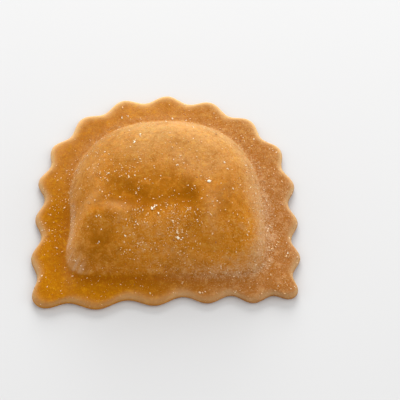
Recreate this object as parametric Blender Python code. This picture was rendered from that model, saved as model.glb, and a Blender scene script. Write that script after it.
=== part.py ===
"""A half-moon of stuffed fresh pasta, lying flat: a filled pocket in a wide scalloped rim.

Two sheets of dough are pressed together round the filling, so the piece is one closed solid.
Metres, +Z up, +Y towards the round side. The origin lies under the middle of the outline,
on the surface that the piece rests on.
"""

import math

import bmesh
import bpy
import numpy as np

NAME = "half_moon_pasta"
NODE = "stuffed_pasta"
MM = 0.001

# Outline of the rim: an arch of two superellipse halves that meet at its widest line
ARCH_HALF_WIDTH = 33.8 * MM
ARCH_FAR_REACH = 28.4 * MM
ARCH_NEAR_REACH = 32.5 * MM
ARCH_FAR_POWER = 2.1
ARCH_NEAR_POWER = 16.0

# Scallops that the cutter leaves, and how unevenly they and the outline have set
SCALLOPS = 19
SCALLOP_HEIGHT = 1.02 * MM
SCALLOP_DRIFT = ((0.89, -1.01), (-0.73, 0.72), (0.20, -0.22))
OUTLINE_DRIFT = ((0.0, 0.0), (0.19 * MM, 0.35 * MM), (-0.38 * MM, 0.52 * MM))

# Rim, from the pocket's foot to the pinched edge
RIM_THICKNESS = 3.0 * MM
RIM_OUTER_THICKNESS = 2.5 * MM
BEVEL_WIDTH = 1.7 * MM
TIP_HEIGHT = 0.95 * MM
UNDERCUT_HEIGHT = 0.35 * MM
UNDERCUT = 0.12 * MM
FOOT_INSET = 0.5 * MM

# Pocket: its foot and its shoulder are arches, each with its own middle y, half width,
# far reach, near reach and near power
FOOT_ARCH = np.array([-4.85 * MM, 25.64 * MM, 27.70 * MM, 19.13 * MM, 8.8])
SHOULDER_ARCH = np.array([1.0 * MM, 15.04 * MM, 7.35 * MM, 8.48 * MM, 4.2])
POCKET_FAR_POWER = 2.33
WALL_RISE = 10.4 * MM
WALL_POWER = 2.4
CREASE_DEPTH = 0.15 * MM

# The dome of the pocket's top, and the hollows and ridges where the dough has settled:
# middle x, middle y, long radius, short radius, turn in degrees, height
RELIEF = (
    (0.0 * MM, 4.0 * MM, 17.0 * MM, 12.0 * MM, 0.0, 1.1 * MM),
    (-15.5 * MM, -18.0 * MM, 6.4 * MM, 4.8 * MM, 75.0, -2.0 * MM),
    (-8.0 * MM, -5.4 * MM, 6.0 * MM, 3.0 * MM, -20.0, -0.7 * MM),
    (-1.0 * MM, -5.0 * MM, 15.0 * MM, 8.0 * MM, 0.0, -0.3 * MM),
    (-9.5 * MM, 2.4 * MM, 4.0 * MM, 2.4 * MM, 0.0, -0.3 * MM),
    (5.8 * MM, -6.6 * MM, 3.4 * MM, 2.4 * MM, -50.0, -0.6 * MM),
    (10.0 * MM, -17.6 * MM, 5.0 * MM, 2.8 * MM, 85.0, -0.35 * MM),
    (15.4 * MM, -12.8 * MM, 9.0 * MM, 2.2 * MM, 87.0, -0.65 * MM),
    (-6.7 * MM, -17.4 * MM, 2.8 * MM, 2.4 * MM, 0.0, -0.25 * MM),
    (12.4 * MM, -11.0 * MM, 6.5 * MM, 2.0 * MM, 88.0, 0.45 * MM),
    (-14.6 * MM, -10.8 * MM, 7.5 * MM, 2.3 * MM, 2.0, 0.95 * MM),
    (-3.0 * MM, -13.5 * MM, 6.5 * MM, 2.6 * MM, 25.0, 0.45 * MM),
)

# Mesh: columns run round the piece, rings from the pocket's top to the underside
COLUMNS = 8 * SCALLOPS
TOP_RINGS = 10
WALL_RINGS = 9
WALL_RING_GROWTH = 1.35
RIM_SHARES = (0.08, 0.3, 0.55)
BEVEL_SHARES = (1.0, 0.45)
UNDERSIDE_SHARES = (0.98, 0.75, 0.5, 0.22)
OUTLINE_SAMPLES = 4000

DOUGH_COLOUR = (0.58, 0.29, 0.06, 1.0)
DOUGH_ROUGHNESS = 0.62


def clear_scene():
    for old in list(bpy.data.objects):
        bpy.data.objects.remove(old, do_unlink=True)


def arch_radius(angle, half_width, far, near, far_power, near_power):
    """Distance from an arch's middle to its outline: a superellipse with its own halves."""
    across = np.abs(np.cos(angle)) / half_width
    along = np.abs(np.sin(angle)) / np.where(np.sin(angle) > 0, far, near)
    power = np.where(np.sin(angle) > 0, far_power, near_power)
    return (across**power + along**power) ** (-1 / power)


def harmonics(terms, phase):
    """Sum of a sine and a cosine for each pair of terms, at one, two, three times the phase."""
    waves = [
        a * np.sin(k * phase) + b * np.cos(k * phase)
        for k, (a, b) in enumerate(terms, start=1)
    ]
    return np.sum(waves, axis=0)


def rim_outline(columns):
    """Points of the scalloped outline, at equal steps round the arch, about its own middle."""
    angle = math.pi / 2 - np.linspace(0, math.tau, OUTLINE_SAMPLES)
    radius = arch_radius(
        angle, ARCH_HALF_WIDTH, ARCH_FAR_REACH, ARCH_NEAR_REACH, ARCH_FAR_POWER, ARCH_NEAR_POWER
    )
    x, y = radius * np.cos(angle), radius * np.sin(angle)
    walked = np.concatenate([[0], np.cumsum(np.hypot(np.diff(x), np.diff(y)))])
    walked *= math.tau / walked[-1]
    phase = np.linspace(0, math.tau, columns, endpoint=False)
    heading = np.arctan2(np.gradient(y), np.gradient(x))
    outward = np.unwrap(heading) + math.pi / 2
    outward = np.interp(phase, walked, outward)
    wave = np.cos(SCALLOPS * phase + harmonics(SCALLOP_DRIFT, phase))
    offset = SCALLOP_HEIGHT * wave + harmonics(OUTLINE_DRIFT, phase)
    points = np.stack([np.interp(phase, walked, x), np.interp(phase, walked, y)], axis=1)
    points += offset[:, None] * np.stack([np.cos(outward), np.sin(outward)], axis=1)
    return points - (points.min(axis=0) + points.max(axis=0)) / 2


def relief(x, y):
    """Height of the hollows and ridges: a sum of stretched, turned bell shapes."""
    total = np.zeros_like(x)
    for mid_x, mid_y, long_radius, short_radius, turn, height in RELIEF:
        cos, sin = math.cos(math.radians(turn)), math.sin(math.radians(turn))
        along = ((x - mid_x) * cos + (y - mid_y) * sin) / long_radius
        across = ((y - mid_y) * cos - (x - mid_x) * sin) / short_radius
        total += height * np.exp(-(along**2 + across**2))
    return total


def pocket_ring(angle, depth, share):
    """A ring of the pocket: an arch part way in from the foot's to the shoulder's, and shrunk to
    a share of itself.

    The wall climbs by a power law of that part. The relief fades out down the wall.
    """
    middle_y, half_width, far, near, near_power = FOOT_ARCH + (SHOULDER_ARCH - FOOT_ARCH) * depth
    radius = share * arch_radius(angle, half_width, far, near, POCKET_FAR_POWER, near_power)
    x, y = radius * np.cos(angle), radius * np.sin(angle) + middle_y
    wall = WALL_RISE * (1 - (1 - depth) ** WALL_POWER)
    fade = min(1.0, depth / 0.5) ** 2
    z = RIM_THICKNESS + wall + fade * relief(x, y)
    return np.stack([x, y, z], axis=1)


def pocket_rings(angle):
    """Rings from the pocket's top out to its foot, where a faint crease meets the rim."""
    rings = [pocket_ring(angle, 1.0, step / TOP_RINGS) for step in range(TOP_RINGS + 1)]
    for step in range(1, WALL_RINGS + 1):
        depth = (1 - step / WALL_RINGS) ** WALL_RING_GROWTH
        rings.append(pocket_ring(angle, depth, 1.0))
    rings[-1][:, 2] -= CREASE_DEPTH
    return rings


def rim_rings(foot, outline):
    """Rings across the rim: a thinning flat, a bevel to the pinched tip, and the underside."""
    across = outline - foot
    width = np.hypot(across[:, 0], across[:, 1])[:, None]
    flat_end = 1 - BEVEL_WIDTH / width

    def ring(share, height):
        return np.hstack([foot + share * across, np.full((len(foot), 1), height)])

    rings = []
    for share in RIM_SHARES:
        height = RIM_THICKNESS + (RIM_OUTER_THICKNESS - RIM_THICKNESS) * share
        rings.append(ring(share * flat_end, height))
    for share in BEVEL_SHARES:
        height = TIP_HEIGHT + (RIM_OUTER_THICKNESS - TIP_HEIGHT) * math.sqrt(share)
        rings.append(ring(1 - share * BEVEL_WIDTH / width, height))
    rings.append(ring(1.0, TIP_HEIGHT))
    rings.append(ring(1 - UNDERCUT / width, UNDERCUT_HEIGHT))
    rings.append(ring(1 - FOOT_INSET / width, 0.0))
    return rings


def underside_rings(edge):
    """Flat rings that close in from the underside's edge to its middle."""
    middle = np.array([0.0, FOOT_ARCH[0], 0.0])
    return [middle + share * (edge - middle) for share in (*UNDERSIDE_SHARES, 0.0)]


def surface_rings():
    outline = rim_outline(COLUMNS)
    angle = np.arctan2(outline[:, 1] - FOOT_ARCH[0], outline[:, 0])
    rings = pocket_rings(angle)
    rings += rim_rings(rings[-1][:, :2], outline)
    rings += underside_rings(rings[-1])
    return np.array(rings)


def add_dough(collection):
    """A sphere whose rings and columns are carried onto the rings of the pasta's surface."""
    rings = surface_rings()
    last_ring = len(rings) - 1
    shape = bmesh.new()
    bmesh.ops.create_uvsphere(shape, u_segments=COLUMNS, v_segments=last_ring, radius=1.0)
    for vertex in shape.verts:
        ring = round(math.acos(max(-1.0, min(1.0, vertex.co.z))) * last_ring / math.pi)
        clockwise = math.pi / 2 - math.atan2(vertex.co.y, vertex.co.x)
        column = round(clockwise * COLUMNS / math.tau) % COLUMNS
        vertex.co = rings[ring, column]
    bmesh.ops.triangulate(shape, faces=shape.faces, quad_method="SHORT_EDGE")
    bmesh.ops.recalc_face_normals(shape, faces=shape.faces)
    mesh = bpy.data.meshes.new(NODE)
    shape.to_mesh(mesh)
    shape.free()
    mesh.shade_smooth()
    mesh.materials.append(dough_material())
    collection.objects.link(bpy.data.objects.new(NODE, mesh))


def dough_material():
    material = bpy.data.materials.new("fresh_egg_dough")
    material.use_nodes = True
    shader = material.node_tree.nodes["Principled BSDF"]
    shader.inputs["Base Color"].default_value = DOUGH_COLOUR
    shader.inputs["Roughness"].default_value = DOUGH_ROUGHNESS
    shader.inputs["Metallic"].default_value = 0.0
    material.diffuse_color = DOUGH_COLOUR
    return material


def main():
    clear_scene()
    collection = bpy.data.collections.new(NAME)
    bpy.context.scene.collection.children.link(collection)
    add_dough(collection)


main()
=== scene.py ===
"""The looks of a half-moon of stuffed fresh pasta: its dough, semolina, floor, light and camera.

Metres, +Z up, +Y towards the round side, as in the frame.
"""

import math

import bpy
import numpy as np
from mathutils import Matrix, Vector


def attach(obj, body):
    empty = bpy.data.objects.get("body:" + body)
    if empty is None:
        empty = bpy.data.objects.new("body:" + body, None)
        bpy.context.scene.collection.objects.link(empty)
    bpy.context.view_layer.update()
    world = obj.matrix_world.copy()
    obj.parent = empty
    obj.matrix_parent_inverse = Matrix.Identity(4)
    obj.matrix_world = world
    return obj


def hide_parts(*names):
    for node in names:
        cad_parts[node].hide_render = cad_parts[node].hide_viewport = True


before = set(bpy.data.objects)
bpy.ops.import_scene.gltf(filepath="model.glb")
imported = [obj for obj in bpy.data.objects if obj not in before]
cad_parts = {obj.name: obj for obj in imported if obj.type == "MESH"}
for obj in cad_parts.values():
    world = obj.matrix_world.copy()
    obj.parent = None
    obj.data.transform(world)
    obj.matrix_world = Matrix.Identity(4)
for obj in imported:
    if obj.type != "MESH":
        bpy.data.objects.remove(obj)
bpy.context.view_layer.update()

MM = 0.001

# Outline of the rim: an arch of two superellipse halves that meet at its widest line
ARCH_HALF_WIDTH = 33.8 * MM
ARCH_FAR_REACH = 28.4 * MM
ARCH_NEAR_REACH = 32.5 * MM
ARCH_FAR_POWER = 2.1
ARCH_NEAR_POWER = 16.0
SCALLOPS = 19
SCALLOP_HEIGHT = 1.02 * MM
SCALLOP_DRIFT = ((0.89, -1.01), (-0.73, 0.72), (0.20, -0.22))
OUTLINE_DRIFT = ((0.0, 0.0), (0.19 * MM, 0.35 * MM), (-0.38 * MM, 0.52 * MM))

# Rim, from the pocket's foot to the pinched edge. The powers shape its bevel and tucked side.
RIM_THICKNESS = 3.0 * MM
RIM_OUTER_THICKNESS = 2.5 * MM
BEVEL_WIDTH = 1.7 * MM
TIP_HEIGHT = 0.95 * MM
FOOT_INSET = 0.5 * MM
BEVEL_INSET_POWER = 0.9
BEVEL_FALL_POWER = 1.3
TUCK_POWER = 2.5
SEAM_DEPTH = 0.1 * MM
SEAM_DROP = 0.22 * MM
SEAM_WIDTH = 0.12 * MM

# Pocket: its foot and its shoulder are arches, each with its own middle y, half width,
# far reach, near reach and near power
FOOT_ARCH = np.array([-4.85 * MM, 25.64 * MM, 27.70 * MM, 19.13 * MM, 8.8])
SHOULDER_ARCH = np.array([1.0 * MM, 15.04 * MM, 7.35 * MM, 8.48 * MM, 4.2])
POCKET_FAR_POWER = 2.33
WALL_WIDTH = 10.6 * MM
WALL_RISE = 10.4 * MM
WALL_POWER = 2.4
FILLET = 0.5 * MM
CREASE_DEPTH = 0.18 * MM
CREASE_WIDTH = 0.9 * MM

# Where the pocket's foot has spread or drawn in: middle x, middle y, radius across,
# radius along, shift in x
FOOT_SHIFTS = (
    (-25.5 * MM, -8.0 * MM, 5.0 * MM, 7.0 * MM, 0.85 * MM),
    (-25.5 * MM, -17.5 * MM, 5.0 * MM, 4.5 * MM, -0.4 * MM),
    (25.5 * MM, -12.0 * MM, 5.0 * MM, 9.0 * MM, 0.6 * MM),
)

# The dome of the pocket's top, and the hollows and ridges where the dough has settled:
# middle x, middle y, long radius, short radius, turn in degrees, height.
# The dome, which comes first, is a tenth of a millimetre lower than the solid's, to leave room
# for the grains. The relief fades out below this share of the wall's width.
RELIEF_SHARE = 0.5
RELIEF = (
    (0.0 * MM, 4.0 * MM, 17.0 * MM, 12.0 * MM, 0.0, 1.0 * MM),
    (-15.5 * MM, -18.0 * MM, 6.4 * MM, 4.8 * MM, 75.0, -2.0 * MM),
    (-8.0 * MM, -5.4 * MM, 6.0 * MM, 3.0 * MM, -20.0, -0.7 * MM),
    (-1.0 * MM, -5.0 * MM, 15.0 * MM, 8.0 * MM, 0.0, -0.3 * MM),
    (-9.5 * MM, 2.4 * MM, 4.0 * MM, 2.4 * MM, 0.0, -0.3 * MM),
    (5.8 * MM, -6.6 * MM, 3.4 * MM, 2.4 * MM, -50.0, -0.6 * MM),
    (10.0 * MM, -17.6 * MM, 5.0 * MM, 2.8 * MM, 85.0, -0.35 * MM),
    (15.4 * MM, -12.8 * MM, 9.0 * MM, 2.2 * MM, 87.0, -0.65 * MM),
    (-6.7 * MM, -17.4 * MM, 2.8 * MM, 2.4 * MM, 0.0, -0.25 * MM),
    (12.4 * MM, -11.0 * MM, 6.5 * MM, 2.0 * MM, 88.0, 0.45 * MM),
    (-14.6 * MM, -10.8 * MM, 7.5 * MM, 2.3 * MM, 2.0, 0.95 * MM),
    (-3.0 * MM, -13.5 * MM, 6.5 * MM, 2.6 * MM, 25.0, 0.45 * MM),
)

# Places where the filling shows darker through the dough, with painted shade in the hollows:
# middle x, middle y, radius across, radius along, amount
FILLING_AND_HOLLOW_SHADE = (
    (-16.8 * MM, 14.3 * MM, 6.5 * MM, 10.0 * MM, 0.50),
    (-10.3 * MM, -1.2 * MM, 11.0 * MM, 5.6 * MM, 0.55),
    (-10.3 * MM, -7.3 * MM, 12.2 * MM, 2.8 * MM, 0.90),
    (15.2 * MM, -6.1 * MM, 5.2 * MM, 5.8 * MM, 0.75),
    (5.2 * MM, -6.5 * MM, 4.6 * MM, 3.3 * MM, 1.00),
    (-6.5 * MM, -5.0 * MM, 5.0 * MM, 3.0 * MM, 0.50),
    (-16.7 * MM, -16.9 * MM, 4.6 * MM, 3.6 * MM, 0.70),
    (7.7 * MM, -8.1 * MM, 2.1 * MM, 9.4 * MM, 0.50),
    (2.4 * MM, -2.3 * MM, 3.6 * MM, 4.3 * MM, 0.50),
    (-0.7 * MM, -10.0 * MM, 4.4 * MM, 2.1 * MM, 0.45),
    (-5.5 * MM, -9.0 * MM, 2.5 * MM, 2.3 * MM, 0.90),
    (3.0 * MM, 7.9 * MM, 4.6 * MM, 3.6 * MM, 0.25),
    (11.6 * MM, -18.0 * MM, 5.5 * MM, 2.1 * MM, 0.30),
    (-11.5 * MM, -21.6 * MM, 8.0 * MM, 1.9 * MM, 0.30),
)

# Places where the dough is paler: flour rubbed in, and painted highlight on ridges and on walls that
# face the light:
# middle x, middle y, long radius, short radius, turn in degrees, amount
PALE_AND_LIT = (
    (-24.3 * MM, -16.0 * MM, 8.0 * MM, 1.6 * MM, 87.0, 0.6),
    (-20.2 * MM, -6.9 * MM, 4.5 * MM, 1.3 * MM, 27.0, 0.4),
    (-12.8 * MM, -9.0 * MM, 4.5 * MM, 1.5 * MM, -15.0, 0.65),
    (8.9 * MM, 13.1 * MM, 12.0 * MM, 3.9 * MM, 133.0, 0.4),
    (5.8 * MM, 3.3 * MM, 5.2 * MM, 2.9 * MM, -38.0, 0.72),
    (13.4 * MM, 2.2 * MM, 4.9 * MM, 3.0 * MM, 30.0, 0.61),
    (15.9 * MM, -4.6 * MM, 6.1 * MM, 2.9 * MM, 52.0, 0.33),
    (12.2 * MM, -10.0 * MM, 6.6 * MM, 1.6 * MM, 94.0, 0.51),
    (-19.7 * MM, -7.1 * MM, 5.3 * MM, 1.6 * MM, 55.0, 0.56),
    (-18.2 * MM, 2.5 * MM, 4.5 * MM, 1.6 * MM, 79.0, 0.66),
    (2.3 * MM, -20.3 * MM, 6.0 * MM, 1.2 * MM, -7.0, 0.25),
    (-5.2 * MM, 6.4 * MM, 4.0 * MM, 2.0 * MM, 95.0, 0.31),
    (24.6 * MM, -9.0 * MM, 10.0 * MM, 1.5 * MM, 90.0, 0.4),
    (5.0 * MM, 17.8 * MM, 7.0 * MM, 4.6 * MM, 132.0, 0.4),
    (4.2 * MM, 5.6 * MM, 3.1 * MM, 1.9 * MM, -47.0, 0.28),
    (-1.5 * MM, -14.0 * MM, 5.0 * MM, 2.8 * MM, 20.0, 0.15),
    (21.0 * MM, -2.5 * MM, 6.5 * MM, 2.2 * MM, 95.0, 0.3),
)

# Places with more grains: middle x, middle y, long radius, short radius, turn in degrees, amount
GRAINY = (
    (-2.0 * MM, -13.5 * MM, 10.0 * MM, 5.5 * MM, 0.0, 1.7),
    (-12.0 * MM, 1.0 * MM, 9.0 * MM, 5.0 * MM, 0.0, 0.6),
    (-24.5 * MM, 0.0 * MM, 9.0 * MM, 2.0 * MM, 90.0, 0.9),
    (-30.0 * MM, -6.0 * MM, 12.0 * MM, 3.0 * MM, 90.0, 0.6),
    (-19.0 * MM, 13.0 * MM, 9.0 * MM, 1.5 * MM, 52.0, 1.2),
    (6.0 * MM, 3.0 * MM, 6.0 * MM, 4.0 * MM, -30.0, 0.7),
)

# Places with fewer grains: middle x, middle y, radius across, radius along, amount
BARE = (
    (-15.5 * MM, -17.5 * MM, 5.0 * MM, 5.0 * MM, 0.8),
    (5.0 * MM, -6.3 * MM, 4.0 * MM, 3.0 * MM, 0.9),
)

# Unevenness of the rolled dough: size of a bump and its height, coarse to fine
POCKET_BUMPS = (
    (8.0 * MM, 0.2 * MM),
    (3.0 * MM, 0.05 * MM),
    (1.1 * MM, 0.022 * MM),
    (0.5 * MM, 0.010 * MM),
)
RIM_BUMPS = (
    (9.0 * MM, 0.16 * MM),
    (3.5 * MM, 0.06 * MM),
    (1.2 * MM, 0.022 * MM),
    (0.5 * MM, 0.008 * MM),
)
LATTICE_CELLS = 64
LATTICE_SHIFT = 31.7
POCKET_BUMP_SEED = 1
RIM_BUMP_SEED = 7
STREAK_SEED = 5

# Fine mesh: columns run round the piece, rings from the pocket's top to the underside.
# A growth is the power that spaces the rings wider away from the pocket's foot.
COLUMNS = 32 * SCALLOPS
TOP_RINGS = 46
WALL_RINGS = 44
WALL_RING_GROWTH = 1.15
RIM_RINGS = 26
RIM_RING_GROWTH = 1.2
BEVEL_RINGS = 12
SIDE_RINGS = 10
UNDERSIDE_RINGS = 20
OUTLINE_SAMPLES = 8000

# Colours, linear
GOLD = (0.575, 0.205, 0.011, 1.0)
# Greyer copy of the gold for the far side, where the back light falls: painted sheen
GOLD_FAR = (0.468, 0.276, 0.103, 1.0)
OCHRE = (0.43, 0.15, 0.001, 1.0)
BROWN_OCHRE = (0.325, 0.117, 0.022, 1.0)
# Paler, greyer copy of the ochre for the far side of the rim: painted sheen
OCHRE_FAR = (0.475, 0.197, 0.046, 1.0)
DEEP = (0.29, 0.090, 0.0008, 1.0)
RUSSET = (0.40, 0.125, 0.005, 1.0)
# Painted crease shadow just outside the left foot
CREASE_SHADOW = (0.31, 0.083, 0.002, 1.0)
# Painted shade on the rim along the pocket's foot, over a deeper tone
SHADED_DEEP_RIM = (0.3077, 0.0923, 0.0008, 1.0)
BEIGE = (0.5538, 0.2692, 0.0885, 1.0)
# Greyer copy of the beige for the far walls, under the back light: painted sheen
BEIGE_FAR = (0.44, 0.245, 0.092, 1.0)
FLOUR = (0.62, 0.40, 0.23, 1.0)
SPECK = (0.6615, 0.3185, 0.065, 1.0)
SPECK_RIM = (0.60, 0.255, 0.004, 1.0)
# Paler pinched edge with a painted highlight from the back light; the second is brighter, for the far
# side
PALE_LIT_EDGE = (0.62, 0.38, 0.18, 1.0)
PALE_LIT_EDGE_FAR = (0.76, 0.50, 0.235, 1.0)
SEMOLINA_DARK = (0.80, 0.50, 0.24, 1.0)
SEMOLINA_PALE = (1.0, 0.90, 0.70, 1.0)
BRAN_DARK = (0.30, 0.09, 0.02, 1.0)
BRAN_PALE = (0.50, 0.19, 0.04, 1.0)
FLOOR_GREY = (0.665, 0.665, 0.665, 1.0)

# Crumbs on the dough
CRUMB_SEED = 11
COARSE_PATCH_SEED = 40
FINE_PATCH_SEED = 41
GRAINS = 1000
FINE_GRAINS = 3600
BRAN_FLECKS = 150

# Shape of a crumb: how far its corners move, the smallest and largest shares of its size the long
# way, the short way and through it, how far it leans, and how much deeper a sunk one sits
CORNER_DRIFT = 0.28
SMALLEST_SHARES = np.array([0.9, 0.45, 0.8])
LARGEST_SHARES = np.array([1.8, 0.9, 1.2])
LEAN = 0.35
EXTRA_SINK = 0.1

# Loose flakes: x, y and size in millimetres. A flake is a small cluster, with one more crumb for
# each half millimetre of its size.
FLAKE_STEP = 0.5 * MM
FLAKES = (
    (-6.1, 12.2, 0.9), (-7.5, 9.9, 0.8), (-15.3, 7.2, 0.6), (-12.9, 0.9, 0.6), (-11.3, 24.4, 0.6),
    (-9.5, 24.8, 0.5), (-2.5, 1.7, 0.5), (-20.4, 9.5, 0.6), (-6.7, -4.3, 0.6), (-4.9, -1.7, 0.6),
    (11.7, -2.6, 1.1), (2.5, 23.8, 0.8), (15.6, 3.2, 0.6), (16.5, 1.3, 0.6), (2.5, 3.8, 0.5),
    (3.4, 2.2, 0.6), (7.9, 16.1, 0.6), (-3.1, -10.0, 1.15), (-2.3, -9.1, 0.9), (-17.1, -11.3, 0.6),
    (-16.4, -12.0, 0.6), (-7.3, -13.1, 0.6), (-10.1, -16.5, 0.6), (-16.9, -17.3, 0.6),
    (-23.0, -20.2, 0.6), (3.6, -17.6, 0.9), (3.1, -16.0, 0.6), (4.3, -17.2, 0.6), (8.7, -10.4, 0.5),
    (8.4, -13.2, 0.5), (12.5, -8.9, 0.5), (31.7, -18.1, 0.6),
)

# Camera: 60 degrees above the table, in front of the straight side
CAMERA_ELEVATION = math.radians(60)
CAMERA_AZIMUTH = math.radians(-1.22)
CAMERA_DISTANCE = 0.450
CAMERA_TARGET = Vector((9.31 * MM, -0.07 * MM, 0.0))
CAMERA_CLIP_START = 0.01
FOCAL_PIXELS = 1692.4
PHOTO_PIXELS = 400
SENSOR_MM = 36.0

# Studio: each light's name, power in watts, azimuth, 0 being behind, and elevation in degrees
LIGHTS = (
    ("back_light", 9.1, 0, 25),
    ("left_light", 0.65, -80, 40),
    ("right_light", 1.7, 85, 40),
)
LIGHT_SIZE = 0.6
LIGHT_DISTANCE = 0.9
SKY_STRENGTH = 0.73
FLOOR_SIZE = 3.0


def arch_radius(angle, half_width, far, near, far_power, near_power):
    """Distance from an arch's middle to its outline: a superellipse with its own halves."""
    across = np.abs(np.cos(angle)) / half_width
    along = np.abs(np.sin(angle)) / np.where(np.sin(angle) > 0, far, near)
    power = np.where(np.sin(angle) > 0, far_power, near_power)
    return (across**power + along**power) ** (-1 / power)


def harmonics(terms, phase):
    """Sum of a sine and a cosine for each pair of terms, at one, two, three times the phase."""
    waves = [a * np.sin(k * phase) + b * np.cos(k * phase) for k, (a, b) in enumerate(terms, start=1)]
    return np.sum(waves, axis=0)


def rim_outline(columns):
    """Points of the scalloped outline: a cosine wave carried round the arch at equal steps."""
    angle = math.pi / 2 - np.linspace(0, math.tau, OUTLINE_SAMPLES)
    radius = arch_radius(
        angle, ARCH_HALF_WIDTH, ARCH_FAR_REACH, ARCH_NEAR_REACH, ARCH_FAR_POWER, ARCH_NEAR_POWER
    )
    x, y = radius * np.cos(angle), radius * np.sin(angle)
    walked = np.concatenate([[0], np.cumsum(np.hypot(np.diff(x), np.diff(y)))])
    walked *= math.tau / walked[-1]
    phase = np.linspace(0, math.tau, columns, endpoint=False)
    outward = np.unwrap(np.arctan2(np.gradient(y), np.gradient(x))) + math.pi / 2
    outward = np.interp(phase, walked, outward)
    wave = np.cos(SCALLOPS * phase + harmonics(SCALLOP_DRIFT, phase))
    offset = SCALLOP_HEIGHT * wave + harmonics(OUTLINE_DRIFT, phase)
    points = np.stack([np.interp(phase, walked, x), np.interp(phase, walked, y)], axis=1)
    points += offset[:, None] * np.stack([np.cos(outward), np.sin(outward)], axis=1)
    return points - (points.min(axis=0) + points.max(axis=0)) / 2


def smoothstep(low, high, x):
    """A soft climb from 0 at low to 1 at high: three times the square of the way, less twice its
    cube. It falls instead where low is above high."""
    t = np.clip((x - low) / (high - low), 0, 1)
    return t * t * (3 - 2 * t)


def ridge(distance, middle, width):
    """A bell of one distance: e to minus the square of its way from the middle over the width."""
    return np.exp(-(((distance - middle) / width) ** 2))


def bell(x, y, mid_x, mid_y, across, along):
    """A bell over the plan: e to minus the sum of the squares of x and y from the middle, each
    over its own radius."""
    return np.exp(-(((x - mid_x) / across) ** 2 + ((y - mid_y) / along) ** 2))


def turned_bells(x, y, table):
    """Sum of bells, one for each row: stretched, turned about its middle and times its height."""
    total = np.zeros_like(x)
    for mid_x, mid_y, long_radius, short_radius, turn, height in table:
        cos, sin = math.cos(math.radians(turn)), math.sin(math.radians(turn))
        along = ((x - mid_x) * cos + (y - mid_y) * sin) / long_radius
        across = ((y - mid_y) * cos - (x - mid_x) * sin) / short_radius
        total += height * np.exp(-(along**2 + across**2))
    return total


def smooth_noise(points, cell, seed):
    """Random height between -1 and 1 in space: a lattice of random values, one for each cell
    corner, blended by a smoothstep along each axis. The lattice is turned at random."""
    draw = np.random.default_rng(seed)
    lattice = draw.uniform(-1, 1, (LATTICE_CELLS,) * 3)
    turn = np.linalg.qr(draw.normal(size=(3, 3)))[0]
    scaled = points @ turn / cell + LATTICE_SHIFT * (seed + 1)
    corner = np.floor(scaled).astype(int)
    part = smoothstep(0, 1, scaled - corner)
    total = np.zeros(points.shape[:-1])
    for step in np.ndindex(2, 2, 2):
        weight = np.prod(np.where(step, part, 1 - part), axis=-1)
        i, j, k = np.moveaxis((corner + step) % LATTICE_CELLS, -1, 0)
        total += weight * lattice[i, j, k]
    return total


def bumps(points, layers, seed):
    """Sum of smooth noise layers, each a bump size and its height, with a seed of its own."""
    heights = [h * smooth_noise(points, cell, seed + n) for n, (cell, h) in enumerate(layers)]
    return sum(heights)


def wall_height(inside):
    """Height of the pocket above the rim at a distance inside its foot: a power law over the
    wall's width, with a fillet that starts the climb softly just outside the foot, less a bell
    for the crease along the foot."""
    eased = (inside + np.sqrt(inside**2 + FILLET**2)) / 2
    depth = np.clip(eased / WALL_WIDTH, 0, 1)
    crease = CREASE_DEPTH * ridge(inside, 0, CREASE_WIDTH)
    return WALL_RISE * (1 - (1 - depth) ** WALL_POWER) - crease


def blended_arch(depth):
    """The pocket's arch part way in from its foot to its shoulder: each measure is the foot's,
    plus that share of the way to the shoulder's."""
    return [foot + (shoulder - foot) * depth for foot, shoulder in zip(FOOT_ARCH, SHOULDER_ARCH)]


def pocket_zone(angle):
    """Rings from the pocket's top out to its foot: x, y and z on a grid, and the inside distance.

    Across the top a ring is the shoulder's arch shrunk to a share of itself. Down the wall the
    arch grows from the shoulder's to the foot's, and its foot is shifted by bells. The relief
    fades out low on the wall, by the square of the depth.
    """
    share = np.concatenate([np.linspace(0, 1, TOP_RINGS, endpoint=False), np.ones(WALL_RINGS)])
    depth = np.linspace(1, 0, WALL_RINGS) ** WALL_RING_GROWTH
    depth = np.concatenate([np.ones(TOP_RINGS), depth])
    share, depth = share[:, None], depth[:, None]
    inset = depth * WALL_WIDTH
    middle_y, half_width, far, near, near_power = blended_arch(depth)
    radius = share * arch_radius(angle[None, :], half_width, far, near, POCKET_FAR_POWER, near_power)
    x = radius * np.cos(angle)
    y = radius * np.sin(angle) + middle_y
    for *place, shift in FOOT_SHIFTS:
        x = x + shift * bell(x, y, *place) * (1 - depth)
    settled = np.clip(depth / RELIEF_SHARE, 0, 1) ** 2 * turned_bells(x, y, RELIEF)
    z = RIM_THICKNESS + wall_height(inset) + settled
    return x, y, z, inset + 0 * x


def rim_zone(foot_x, foot_y, outline):
    """Rings across the rim's top, from just outside the foot to the start of the bevel: each
    column runs straight from the foot to the outline, and the rim thins evenly along it."""
    across_x, across_y = outline[:, 0] - foot_x, outline[:, 1] - foot_y
    width = np.hypot(across_x, across_y)
    share = np.linspace(0, 1, RIM_RINGS + 1)[1:, None] ** RIM_RING_GROWTH
    reach = share * (1 - BEVEL_WIDTH / width)
    x = foot_x + reach * across_x
    y = foot_y + reach * across_y
    z = RIM_THICKNESS + (RIM_OUTER_THICKNESS - RIM_THICKNESS) * share + wall_height(-reach * width)
    return x, y, z, -reach * width


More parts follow.
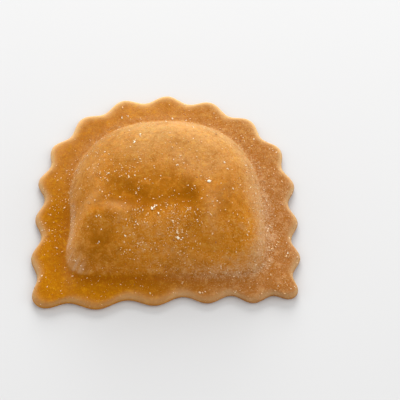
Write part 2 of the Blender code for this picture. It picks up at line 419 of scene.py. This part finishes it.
def edge_zone(foot_x, foot_y, outline):
    """Rings down the bevel and the pinched side: a quarter-round bevel, then a side with a faint
    seam between the two sheets, tucked under to the foot of the edge."""
    across_x, across_y = outline[:, 0] - foot_x, outline[:, 1] - foot_y
    width = np.hypot(across_x, across_y)
    turn = np.linspace(0, 1, BEVEL_RINGS + 1)[1:] * math.pi / 2
    bevel_inset = BEVEL_WIDTH * (1 - np.sin(turn) ** BEVEL_INSET_POWER)
    bevel_z = TIP_HEIGHT + (RIM_OUTER_THICKNESS - TIP_HEIGHT) * np.cos(turn) ** BEVEL_FALL_POWER
    fall = np.linspace(0, 1, SIDE_RINGS + 1)[1:]
    side_z = TIP_HEIGHT * (1 - fall)
    seam = SEAM_DEPTH * ridge(TIP_HEIGHT - side_z, SEAM_DROP, SEAM_WIDTH)
    side_inset = FOOT_INSET * fall**TUCK_POWER + seam
    inset = np.concatenate([bevel_inset, side_inset])[:, None]
    z = np.concatenate([bevel_z, side_z])[:, None] + 0 * foot_x
    reach = 1 - inset / width
    return foot_x + reach * across_x, foot_y + reach * across_y, z, -reach * width


def underside_zone(x, y):
    """Flat rings that close in from the edge's foot to the middle of the underside."""
    share = np.linspace(1, 0, UNDERSIDE_RINGS + 1)[1:, None]
    return share * x, FOOT_ARCH[0] + share * (y - FOOT_ARCH[0]), 0 * share * x


def finish_fields(x, y, z, inside, to_edge, on_pocket, on_top):
    """The fields that the dough's finish reads, one number for each point and most from 0 to 1.

    They are sums and products of smooth steps and bells: of the place, of the distance inside
    the pocket's foot, and of the distance to the outline.
    """
    near = smoothstep(-19 * MM, -24 * MM, y)
    beyond = smoothstep(-10 * MM, 2 * MM, y)
    far = smoothstep(2 * MM, 14 * MM, y)
    right = smoothstep(-6 * MM, 22 * MM, x)
    left = 1 - right
    left_foot = smoothstep(-19 * MM, -23 * MM, x) * smoothstep(6 * MM, -8 * MM, y)

    # Sunk over the filling, with painted shade in the hollows: what stays clear is the product of
    # what each place leaves clear
    sunk = 1 - np.prod([1 - amount * bell(x, y, *place) for *place, amount in FILLING_AND_HOLLOW_SHADE], axis=0)

    # Low on the wall, at the sides and beyond, and in a narrower band on the right, where the walls
    # are
    # painted beige: flour, and painted highlight where the lights fall on them
    sides = smoothstep(19 * MM, 23.5 * MM, np.abs(x)) + smoothstep(-12 * MM, -2 * MM, y)
    sides = np.clip(sides, 0, 1) * (1 - 0.9 * near)
    narrow = MM * right * smoothstep(-4 * MM, -12 * MM, y)
    wall = smoothstep(6.0 * MM - 2.4 * narrow, 1.8 * MM - 0.8 * narrow, inside)
    wall *= smoothstep(-0.2 * MM, 0.8 * MM, inside) * sides

    # Crest of the left foot, paler in streaks of two columns: flour, and painted highlight along the
    # lit wall
    crest = smoothstep(-0.1 * MM, 0.3 * MM, inside) * smoothstep(2.6 * MM, 0.6 * MM, inside)
    draw = np.random.default_rng(STREAK_SEED)
    streaks = smoothstep(0.3, 0.7, draw.random(COLUMNS // 2)).repeat(2)

    # Flour in the crease along the foot and on the rim's right side; on the wall it is flour and
    # painted highlight, most on the right wall
    crease = ridge(inside, -0.5 * MM, 1.4 * MM)
    crease_outside = ridge(inside, -1.0 * MM, 1.4 * MM)
    crease_line = ridge(inside, 0.3 * MM, 0.6 * MM)
    right_crease = right * ridge(y, -13 * MM, 11 * MM)
    powdery = right * ridge(y, -15 * MM, 6 * MM)
    left_crease = left * (1 - near) * (1 - left_foot) * (1 - 0.4 * far)
    dust_and_highlight = crease * (0.25 * right + right_crease + 1.5 * powdery)
    dust_and_highlight += 0.28 * right * (1 - on_pocket) * (1 - 0.4 * near)
    dust_and_highlight += crease_line * (0.35 * left_crease + 0.6 * right_crease)
    dust_and_highlight += crease_outside * (0.06 * beyond + 0.2 * far) * left**2
    dust_and_highlight += wall * (0.1 * far * left + 0.5 * right * (1 - 0.5 * far))

    # Pinched edge, paler, with a painted highlight from the back light: broader on the round side,
    # narrower on the right, weak in front and low down, where it is in shade
    edge_width = 1.35 * MM + 0.3 * MM * smoothstep(10 * MM, 26 * MM, y)
    edge_width -= 0.25 * MM * smoothstep(5 * MM, 25 * MM, x)
    edge = ridge(to_edge, 0, edge_width) * (0.4 + 0.6 * smoothstep(-33 * MM, -26 * MM, y))
    edge *= 0.2 + 0.8 * smoothstep(0.7 * MM, 1.9 * MM, z)

    # Just outside the foot: a painted crease shadow on the left, and painted shade over a deeper tone
    # of the rim round it
    painted_crease_shadow = ridge(inside, -0.9 * MM, 0.9 * MM) * left
    painted_crease_shadow *= 0.7 + 0.3 * near - 0.25 * beyond - 0.35 * far
    foot = ridge(inside, -2.3 * MM, 2.4 * MM) * on_top * (1 - 0.8 * beyond * left)
    return {
        "sunk": sunk,
        "pale": np.clip(turned_bells(x, y, PALE_AND_LIT), 0, 1),
        "rim": smoothstep(0.6 * MM, -0.3 * MM, inside),
        "painted_crease_shadow": painted_crease_shadow,
        "foot": foot,
        "wall": wall * (1 - 0.75 * left_foot),
        "crest": crest * left_foot * (0.25 + 0.75 * streaks),
        "edge": edge,
        "dust_and_highlight": np.clip(dust_and_highlight, 0, 1),
    }


def dough_surface():
    """The whole skin of the piece on a grid of rings and columns, and the fields of its finish.

    The zones follow each other from the pocket's top to the middle of the underside, and bumps
    lift the upper side.
    """
    outline = rim_outline(COLUMNS)
    angle = np.arctan2(outline[:, 1] - FOOT_ARCH[0], outline[:, 0])
    px, py, pz, pocket_inside = pocket_zone(angle)
    rx, ry, rz, rim_inside = rim_zone(px[-1], py[-1], outline)
    ex, ey, ez, edge_inside = edge_zone(px[-1], py[-1], outline)
    ux, uy, uz = underside_zone(ex[-1], ey[-1])
    under_inside = np.full_like(ux, -WALL_WIDTH)
    x = np.concatenate([px, rx, ex, ux])
    y = np.concatenate([py, ry, ey, uy])
    z = np.concatenate([pz, rz, ez, uz])
    inside = np.concatenate([pocket_inside, rim_inside, edge_inside, under_inside])
    to_edge = np.hypot(outline[:, 0] - x, outline[:, 1] - y)

    points = np.stack([x, y, z], axis=-1)
    on_pocket = smoothstep(-0.5 * MM, 1.5 * MM, inside)
    on_top = smoothstep(0.2 * MM, 1.2 * MM, z)
    lift = on_pocket * bumps(points, POCKET_BUMPS, POCKET_BUMP_SEED)
    lift += (1 - on_pocket) * bumps(points, RIM_BUMPS, RIM_BUMP_SEED)
    points[..., 2] += lift * on_top
    return points, finish_fields(x, y, z, inside, to_edge, on_pocket, on_top)


def grid_mesh(name, points, fields):
    """A closed mesh from a grid of rings and columns whose first and last ring are one point."""
    rings, columns = points.shape[:2]
    body = points[1:-1].reshape(-1, 3)
    vertices = np.concatenate([points[0, :1], body, points[-1, :1]])
    here = 1 + np.arange((rings - 2) * columns).reshape(rings - 2, columns)
    beside = np.roll(here, -1, axis=1)
    quads = np.stack([here[:-1], beside[:-1], beside[1:], here[1:]], axis=-1).reshape(-1, 4)
    top = np.stack([np.zeros(columns, int), beside[0], here[0]], axis=-1)
    last = len(vertices) - 1
    bottom = np.stack([np.full(columns, last), here[-1], beside[-1]], axis=-1)
    mesh = bpy.data.meshes.new(name)
    loops = np.concatenate([top.ravel(), quads.ravel(), bottom.ravel()])
    sizes = np.concatenate([np.full(columns, 3), np.full(len(quads), 4), np.full(columns, 3)])
    add_faces(mesh, vertices, loops, sizes)
    for field, values in fields.items():
        flat = np.concatenate([values[0, :1], values[1:-1].ravel(), values[-1, :1]])
        add_field(mesh, field, flat)
    return mesh


def add_faces(mesh, vertices, loops, sizes):
    """Fills a mesh from its points, the points' numbers face after face, and the faces' sizes."""
    mesh.vertices.add(len(vertices))
    mesh.vertices.foreach_set("co", vertices.astype(np.float32).ravel())
    mesh.loops.add(len(loops))
    mesh.loops.foreach_set("vertex_index", loops.astype(np.int32))
    mesh.polygons.add(len(sizes))
    starts = np.concatenate([[0], np.cumsum(sizes)[:-1]])
    mesh.polygons.foreach_set("loop_start", starts.astype(np.int32))
    mesh.update(calc_edges=True)
    mesh.validate()


def add_field(mesh, name, values):
    """Gives each point of a mesh a number that its finish can read by name."""
    attribute = mesh.attributes.new(name, "FLOAT", "POINT")
    attribute.data.foreach_set("value", values.astype(np.float32))


def add_piece(mesh, material):
    """A smooth-shaded piece with its material, named as its mesh, that rides on the root."""
    piece = bpy.data.objects.new(mesh.name, mesh)
    bpy.context.scene.collection.objects.link(piece)
    mesh.materials.append(material)
    mesh.shade_smooth()
    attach(piece, "root")
    return piece


class Link:
    """A node's output that adds and multiplies like a number, each step as a Math node."""

    def __init__(self, finish, socket):
        self.finish = finish
        self.socket = socket

    def __add__(self, other):
        return self.finish.maths("ADD", self, other)

    def __sub__(self, other):
        return self.finish.maths("SUBTRACT", self, other)

    def __rsub__(self, other):
        return self.finish.maths("SUBTRACT", other, self)

    def __mul__(self, other):
        return self.finish.maths("MULTIPLY", self, other)

    __radd__ = __add__
    __rmul__ = __mul__


class Finish:
    """A material's node graph round its Principled shader."""

    def __init__(self, name):
        self.material = bpy.data.materials.new(name)
        self.material.use_nodes = True
        self.tree = self.material.node_tree
        self.shader = self.tree.nodes["Principled BSDF"]

    def node(self, kind, settings=None, output=0, inputs=None):
        """Adds a node: its settings first, then its sockets' values or links, by name or place."""
        made = self.tree.nodes.new(kind)
        for key, value in (settings or {}).items():
            setattr(made, key, value)
        for key, value in (inputs or {}).items():
            self.feed(made.inputs[key], value)
        return Link(self, made.outputs[output])

    def feed(self, socket, value):
        """Links a socket to a node's output, or sets it to a plain value."""
        if isinstance(value, Link):
            self.tree.links.new(value.socket, socket)
        else:
            socket.default_value = value

    def maths(self, operation, first, second):
        """A Math node on two values."""
        return self.node("ShaderNodeMath", {"operation": operation}, inputs={0: first, 1: second})

    def ramp(self, value, low, high):
        """A smooth step of a value from 0 at low to 1 at high."""
        settings = {"interpolation_type": "SMOOTHSTEP"}
        return self.node("ShaderNodeMapRange", settings, inputs={0: value, 1: low, 2: high})

    def blend(self, factor, first, second):
        """A colour part way from the first, at 0, to the second, at 1."""
        inputs = {0: factor, 6: first, 7: second}
        return self.node("ShaderNodeMix", {"data_type": "RGBA"}, output=2, inputs=inputs)

    def noise(self, size, detail, roughness=0.5, distortion=0.0):
        """Noise on Object coordinates, from 0 to 1, whose lumps are about this size in metres."""
        where = self.node("ShaderNodeTexCoord", output=3)
        inputs = {"Vector": where, "Scale": 1 / size, "Detail": detail, "Roughness": roughness}
        inputs["Distortion"] = distortion
        return self.node("ShaderNodeTexNoise", inputs=inputs)

    def axis(self, name):
        """One of the Object coordinates, in metres."""
        where = self.node("ShaderNodeTexCoord", output=3)
        return self.node("ShaderNodeSeparateXYZ", output="XYZ".index(name), inputs={0: where})

    def field(self, name):
        """A number that the mesh carries at its points."""
        return self.node("ShaderNodeAttribute", {"attribute_name": name}, output=2)

    def set(self, **sockets):
        """Feeds the shader's own sockets, whose names have an underscore for each space."""
        for key, value in sockets.items():
            self.feed(self.shader.inputs[key.replace("_", " ")], value)


def dough_finish():
    """Egg dough, as a row of layers that each cover the ones before by an amount from 0 to 1.

    The pocket is golden and the rim ochre, both greyer on the far side as painted sheen. They are
    deep where the filling shows through and as painted shade in the hollows, beige on the walls and
    on pale patches, which also carry painted highlight, floury in the crease, and cream and lit by a
    painted highlight at the pinched edge. Painted shade darkens the crease and the rim along the
    pocket's foot. An amount is a field of the mesh, a smooth step of noise, or a product of these.
    """
    finish = Finish("fresh_egg_dough")
    names = ("sunk", "pale", "rim", "painted_crease_shadow", "foot", "wall", "crest", "edge", "dust_and_highlight")
    sunk, pale, rim, painted_crease_shadow, foot, wall, crest, edge, dust_and_highlight = (finish.field(name) for name in names)
    right = finish.ramp(finish.axis("X"), -14 * MM, 26 * MM)
    far = finish.ramp(finish.axis("Y"), -6 * MM, 20 * MM)
    broad = finish.noise(6 * MM, detail=3.0)
    patch = finish.noise(2.6 * MM, detail=3.0, roughness=0.6, distortion=0.6)
    cloud = finish.noise(1.6 * MM, detail=3.0, roughness=0.6, distortion=0.4)
    fine = finish.noise(0.4 * MM, detail=3.0, roughness=0.7)
    powder = finish.noise(0.3 * MM, detail=2.0, roughness=0.7)
    powdered = finish.ramp(cloud * 0.5 + powder * 0.5, 0.35, 0.7)
    plain = 1 - sunk * 0.95 - rim * (0.75 - right * 0.35)
    clear = plain * plain

    # On the far side the colours turn greyer where the back light falls: painted sheen
    pocket = finish.blend(far, GOLD, GOLD_FAR)
    around = finish.blend(right, OCHRE, BROWN_OCHRE)
    around = finish.blend(far * (1 - right * 0.75), around, OCHRE_FAR)
    wall_beige = finish.blend(far, BEIGE, BEIGE_FAR)
    pale_lit_edge = finish.blend(far, PALE_LIT_EDGE, PALE_LIT_EDGE_FAR)
    speck = finish.blend(rim + sunk, SPECK, SPECK_RIM)
    speck = finish.blend(rim * right * (1 - far * 0.8), speck, BEIGE)
    layers = (
        # Painted shade on the rim along the pocket's foot, over a deeper tone
        (foot * 0.6, SHADED_DEEP_RIM),
        # Beige walls: flour, and painted highlight where the lights fall on them
        (wall * 0.8, wall_beige),
        # Filling showing through, and painted shade in the hollows
        (sunk * (0.95 + broad * 0.4), DEEP),
        (finish.ramp(broad, 0.44, 0.66) * 0.36, DEEP),
        # Pale patches: rubbed flour, and painted highlight on ridges and lit walls
        (pale * (0.4 + cloud * 0.5 + powder * 0.5), BEIGE),
        # Painted crease shadow outside the left foot
        (painted_crease_shadow * 0.75, CREASE_SHADOW),
        (finish.ramp(patch, 0.47, 0.32) * 0.36, DEEP),
        (finish.ramp(patch, 0.5, 0.64) * sunk * (1 - sunk) * 2.2, GOLD),
        (finish.ramp(cloud, 0.5, 0.74) * (plain + rim * (0.5 - right * 0.35)) * 0.7, speck),
        (finish.ramp(patch, 0.52, 0.66) * clear * 0.5, BEIGE),
        # Pale streaks on the left crest: flour, and painted highlight
        (crest * (0.2 + powder), FLOUR),
        (finish.ramp(cloud, 0.48, 0.24) * 0.4, DEEP),
        # Flour, and painted highlight on the right wall; the powder layers below follow it too
        (dust_and_highlight * powdered * 0.85, FLOUR),
        (finish.ramp(fine, 0.5, 0.66) * (plain + rim * 0.6) * 0.45, speck),
        (finish.ramp(fine, 0.5, 0.68) * (clear * 0.2 + dust_and_highlight * 0.3), FLOUR),
        (finish.ramp(fine, 0.5, 0.34) * (0.42 + rim * 0.25), RUSSET),
        (finish.ramp(powder, 0.58, 0.72) * (dust_and_highlight * 0.7 + wall * 0.25 + pale * 0.5), FLOUR),
        # Paler pinched edge with a painted highlight from the back light
        (edge * (0.65 + cloud * 0.5), pale_lit_edge),
    )
    colour = finish.blend(rim, pocket, around)
    for amount, paint in layers:
        colour = finish.blend(amount, colour, paint)

    relief = {"Strength": 0.6, "Distance": 0.2 * MM, "Height": fine * 0.6 + cloud * 0.8}
    bump = finish.node("ShaderNodeBump", inputs=relief)
    finish.set(Base_Color=colour, Roughness=0.5 + cloud * 0.25, Normal=bump)
    finish.set(Subsurface_Weight=0.2, Subsurface_Scale=1.2 * MM, Subsurface_Radius=(1.0, 0.45, 0.15))
    finish.set(Specular_IOR_Level=0.015)
    return finish.material


def crumb_finish(name, dark, pale, roughness):
    """Grains whose colour runs from dark to pale by the tone that each grain carries, a little
    mottled by noise."""
    finish = Finish(name)
    mottle = finish.noise(0.2 * MM, detail=2.0)
    tone = finish.field("tone") + (mottle - 0.5) * 0.4
    colour = finish.blend(finish.ramp(tone, 0.0, 1.0), dark, pale)
    finish.set(Base_Color=colour, Roughness=roughness + mottle * 0.2)
    finish.set(Specular_IOR_Level=0.5)
    return finish.material


def add_dough(points, fields):
    """The fine skin, which takes the place of the whole solid."""
    dough = add_piece(grid_mesh("dough_skin", points, fields), dough_finish())
    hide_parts("stuffed_pasta")


def unit(vectors):
    """Rows of vectors, each over its own length."""
    return vectors / np.linalg.norm(vectors, axis=1)[:, None]


def scatter(points, density, count, draw):
    """Spots on a grid surface and its outward directions there: faces are drawn by their area
    times the density, and each spot is a random blend of its face's corners."""
    ring, next_ring = points[:-1], points[1:]
    corners = [ring, np.roll(ring, -1, 1), np.roll(next_ring, -1, 1), next_ring]
    corners = np.stack(corners, axis=2).reshape(-1, 4, 3)
    outward = np.cross(corners[:, 2] - corners[:, 0], corners[:, 3] - corners[:, 1])
    area = np.linalg.norm(outward, axis=1)
    chance = area * ((density[:-1] + density[1:]) / 2).ravel()
    face = draw.choice(len(corners), count, p=chance / chance.sum())
    u, v = draw.random((2, count, 1))
    a, b, c, d = np.moveaxis(corners[face], 1, 0)
    spots = (1 - v) * ((1 - u) * a + u * b) + v * ((1 - u) * d + u * c)
    return spots, outward[face] / area[face, None]


def nearest_spots(points, plan):
    """Grid points of the upper side nearest to places given in plan, and the directions there:
    across the step to the next column and the step to the next ring."""
    ring, next_ring = points[:-1], points[1:]
    outward = np.cross(np.roll(ring, -1, 1) - ring, next_ring - ring)
    top = outward[..., 2] > 0
    spots, directions = ring[top], outward[top]
    away = np.linalg.norm(spots[None, :, :2] - plan[:, None], axis=2)
    pick = away.argmin(axis=1)
    return spots[pick], unit(directions[pick])


def icosahedron():
    """Twelve corners from the golden ratio, and the twenty faces between nearest corners."""
    golden = (1 + math.sqrt(5)) / 2
    ring = [(0, a, b * golden) for a in (-1, 1) for b in (-1, 1)]
    corners = np.array([np.roll(c, k) for k in range(3) for c in ring]) / math.hypot(1, golden)
    return corners, hull_faces(corners)


def octahedron():
    """Six corners, one each way along the three axes, and the eight faces between them."""
    corners = np.concatenate([np.eye(3), -np.eye(3)])
    return corners, hull_faces(corners)


def hull_faces(corners):
    """Triangles of a regular solid: every three corners that are one edge apart, facing out."""
    apart = np.linalg.norm(corners[:, None] - corners[None], axis=2)
    edge = apart[apart > 1e-6].min() * 1.01
    faces = []
    for i, j, k in np.argwhere(np.ones((len(corners),) * 3)):
        if i < j and i < k and j != k and max(apart[i, j], apart[j, k], apart[i, k]) < edge:
            if np.dot(np.cross(corners[j] - corners[i], corners[k] - corners[i]), corners[i]) > 0:
                faces.append((i, j, k))
    return np.array(faces)


def crumb_mesh(name, solid, spots, outward, sizes, draw, flatness, sunk, tones=(0.6, 2.0)):
    """Many crumbs in one mesh: each is the solid with its corners moved a little, made longer one
    way, flattened along the surface's direction, turned at random and sunk into the surface.

    The flatness is a crumb's thickness as a share of its size, and sunk is the share of that
    thickness under the surface. The tone is drawn from a beta law with the two powers in tones.
    """
    corners, faces = solid
    count = len(spots)
    drift = draw.uniform(-CORNER_DRIFT, CORNER_DRIFT, (count, len(corners), 1))
    flat = np.array([1, 1, flatness])
    stretch = draw.uniform(SMALLEST_SHARES * flat, LARGEST_SHARES * flat, (count, 1, 3))
    shaped = corners[None] * (1 + drift) * stretch
    side = unit(np.cross(outward, draw.normal(size=(count, 3))))
    up = unit(outward + draw.normal(0, LEAN, (count, 1)) * side)
    side = unit(side - up * np.sum(side * up, axis=1)[:, None])
    axes = np.stack([side, np.cross(up, side), up], axis=1)
    radius = sizes[:, None, None] / 2
    placed = np.einsum("nvi,nij->nvj", shaped, axes) * radius
    lift = (flatness * (1 - sunk) - sunk * EXTRA_SINK) * sizes / 2
    vertices = placed + (spots + outward * lift[:, None])[:, None]
    loops = faces[None] + len(corners) * np.arange(count)[:, None, None]
    mesh = bpy.data.meshes.new(name)
    add_faces(mesh, vertices.reshape(-1, 3), loops.ravel(), np.full(count * len(faces), 3))
    add_field(mesh, "tone", np.repeat(draw.beta(*tones, count), len(corners)))
    return mesh


def semolina_density(points, top, dust_and_highlight):
    """How thickly semolina lies on the upper side: a little all over, more in patches of noise, in
    the grainy places and where the dough is dusted, less on the far side and in the bare places."""
    x, y = points[..., 0], points[..., 1]
    patches = smoothstep(-0.2, 0.6, smooth_noise(points, 4 * MM, COARSE_PATCH_SEED))
    patches += smoothstep(0.1, 0.7, smooth_noise(points, 1.5 * MM, FINE_PATCH_SEED))
    grainy = turned_bells(x, y, GRAINY) * (0.2 + patches)
    density = top * (0.06 + 0.16 * patches + grainy + 0.8 * dust_and_highlight)
    density *= 1 - 0.5 * smoothstep(4 * MM, 14 * MM, y)
    for *place, amount in BARE:
        density *= 1 - amount * bell(x, y, *place)
    return density


def add_crumbs(points, dust_and_highlight):
    """Semolina in two sizes, loose flakes at set places, and flecks of bran."""
    draw = np.random.default_rng(CRUMB_SEED)
    top = smoothstep(0.6 * MM, 1.4 * MM, points[..., 2])
    density = semolina_density(points, top, dust_and_highlight)
    semolina = crumb_finish("semolina", SEMOLINA_DARK, SEMOLINA_PALE, 0.25)
    bran = crumb_finish("bran", BRAN_DARK, BRAN_PALE, 0.5)
    round_crumb = icosahedron()

    spots, outward = scatter(points, density, GRAINS, draw)
    sizes = 0.22 * MM + 0.5 * MM * draw.beta(1.1, 4.0, GRAINS)
    mesh = crumb_mesh(
        "semolina_grains", round_crumb, spots, outward, sizes, draw, flatness=0.35, sunk=0.35
    )
    add_piece(mesh, semolina)

    spots, outward = scatter(points, density, FINE_GRAINS, draw)
    sizes = draw.uniform(0.08 * MM, 0.17 * MM, FINE_GRAINS)
    mesh = crumb_mesh(
        "fine_semolina", octahedron(), spots, outward, sizes, draw, flatness=0.35, sunk=0.35
    )
    add_piece(mesh, semolina)

    flakes = np.array(FLAKES) * MM
    flakes = np.repeat(flakes, np.round(1 + flakes[:, 2] / FLAKE_STEP).astype(int), axis=0)
    plan = flakes[:, :2] + draw.normal(0, 0.22, (len(flakes), 2)) * flakes[:, 2:]
    spots, outward = nearest_spots(points, plan)
    sizes = flakes[:, 2] * draw.uniform(0.4, 0.8, len(flakes))
    mesh = crumb_mesh(
        "semolina_flakes", round_crumb, spots, outward, sizes, draw,
        flatness=0.4, sunk=0.3, tones=(3.0, 1.0),
    )
    add_piece(mesh, semolina)

    spots, outward = scatter(points, top, BRAN_FLECKS, draw)
    sizes = draw.uniform(0.16 * MM, 0.42 * MM, BRAN_FLECKS)
    mesh = crumb_mesh(
        "bran_flecks", round_crumb, spots, outward, sizes, draw, flatness=0.25, sunk=0.6
    )
    add_piece(mesh, bran)


def add_floor():
    """A plain pale plane under the piece, which isn't part of it."""
    bpy.ops.mesh.primitive_plane_add(size=FLOOR_SIZE, location=(0, 0, 0))
    floor = bpy.context.object
    floor.name = "floor"
    finish = Finish("pale_floor")
    finish.set(Base_Color=FLOOR_GREY, Roughness=0.8, Specular_IOR_Level=0.0)
    floor.data.materials.append(finish.material)


def add_soft_light(name, power, azimuth, elevation):
    """A square area light that faces the piece from a direction."""
    turn, rise = math.radians(azimuth), math.radians(elevation)
    level = math.cos(rise)
    towards = Vector((math.sin(turn) * level, math.cos(turn) * level, math.sin(rise)))
    data = bpy.data.lights.new(name, "AREA")
    data.shape = "SQUARE"
    data.size = LIGHT_SIZE
    data.energy = power
    light = bpy.data.objects.new(name, data)
    light.location = towards * LIGHT_DISTANCE
    light.rotation_euler = towards.to_track_quat("Z", "Y").to_euler()
    bpy.context.scene.collection.objects.link(light)


def add_studio():
    """The floor, the soft lights and an even white sky."""
    add_floor()
    for name, power, azimuth, elevation in LIGHTS:
        add_soft_light(name, power, azimuth, elevation)
    world = bpy.data.worlds.new("studio")
    world.use_nodes = True
    background = world.node_tree.nodes["Background"]
    background.inputs["Color"].default_value = (1.0, 1.0, 1.0, 1.0)
    background.inputs["Strength"].default_value = SKY_STRENGTH
    scene = bpy.context.scene
    scene.world = world
    scene.view_settings.view_transform = "Standard"


def add_camera():
    """The camera looks at its target from the photograph's angle and distance."""
    data = bpy.data.cameras.new("camera")
    data.sensor_width = SENSOR_MM
    data.lens = SENSOR_MM * FOCAL_PIXELS / PHOTO_PIXELS
    data.clip_start = CAMERA_CLIP_START
    back = Vector((
        math.sin(CAMERA_AZIMUTH) * math.cos(CAMERA_ELEVATION),
        -math.cos(CAMERA_AZIMUTH) * math.cos(CAMERA_ELEVATION),
        math.sin(CAMERA_ELEVATION),
    ))
    right = Vector((math.cos(CAMERA_AZIMUTH), math.sin(CAMERA_AZIMUTH), 0))
    turn = Matrix((right, back.cross(right), back)).transposed()
    camera = bpy.data.objects.new("camera", data)
    camera.matrix_world = Matrix.Translation(CAMERA_TARGET + back * CAMERA_DISTANCE) @ turn.to_4x4()
    bpy.context.scene.collection.objects.link(camera)
    bpy.context.scene.camera = camera


dough_points, dough_fields = dough_surface()
add_dough(dough_points, dough_fields)
add_crumbs(dough_points, dough_fields["dust_and_highlight"])
add_studio()
add_camera()
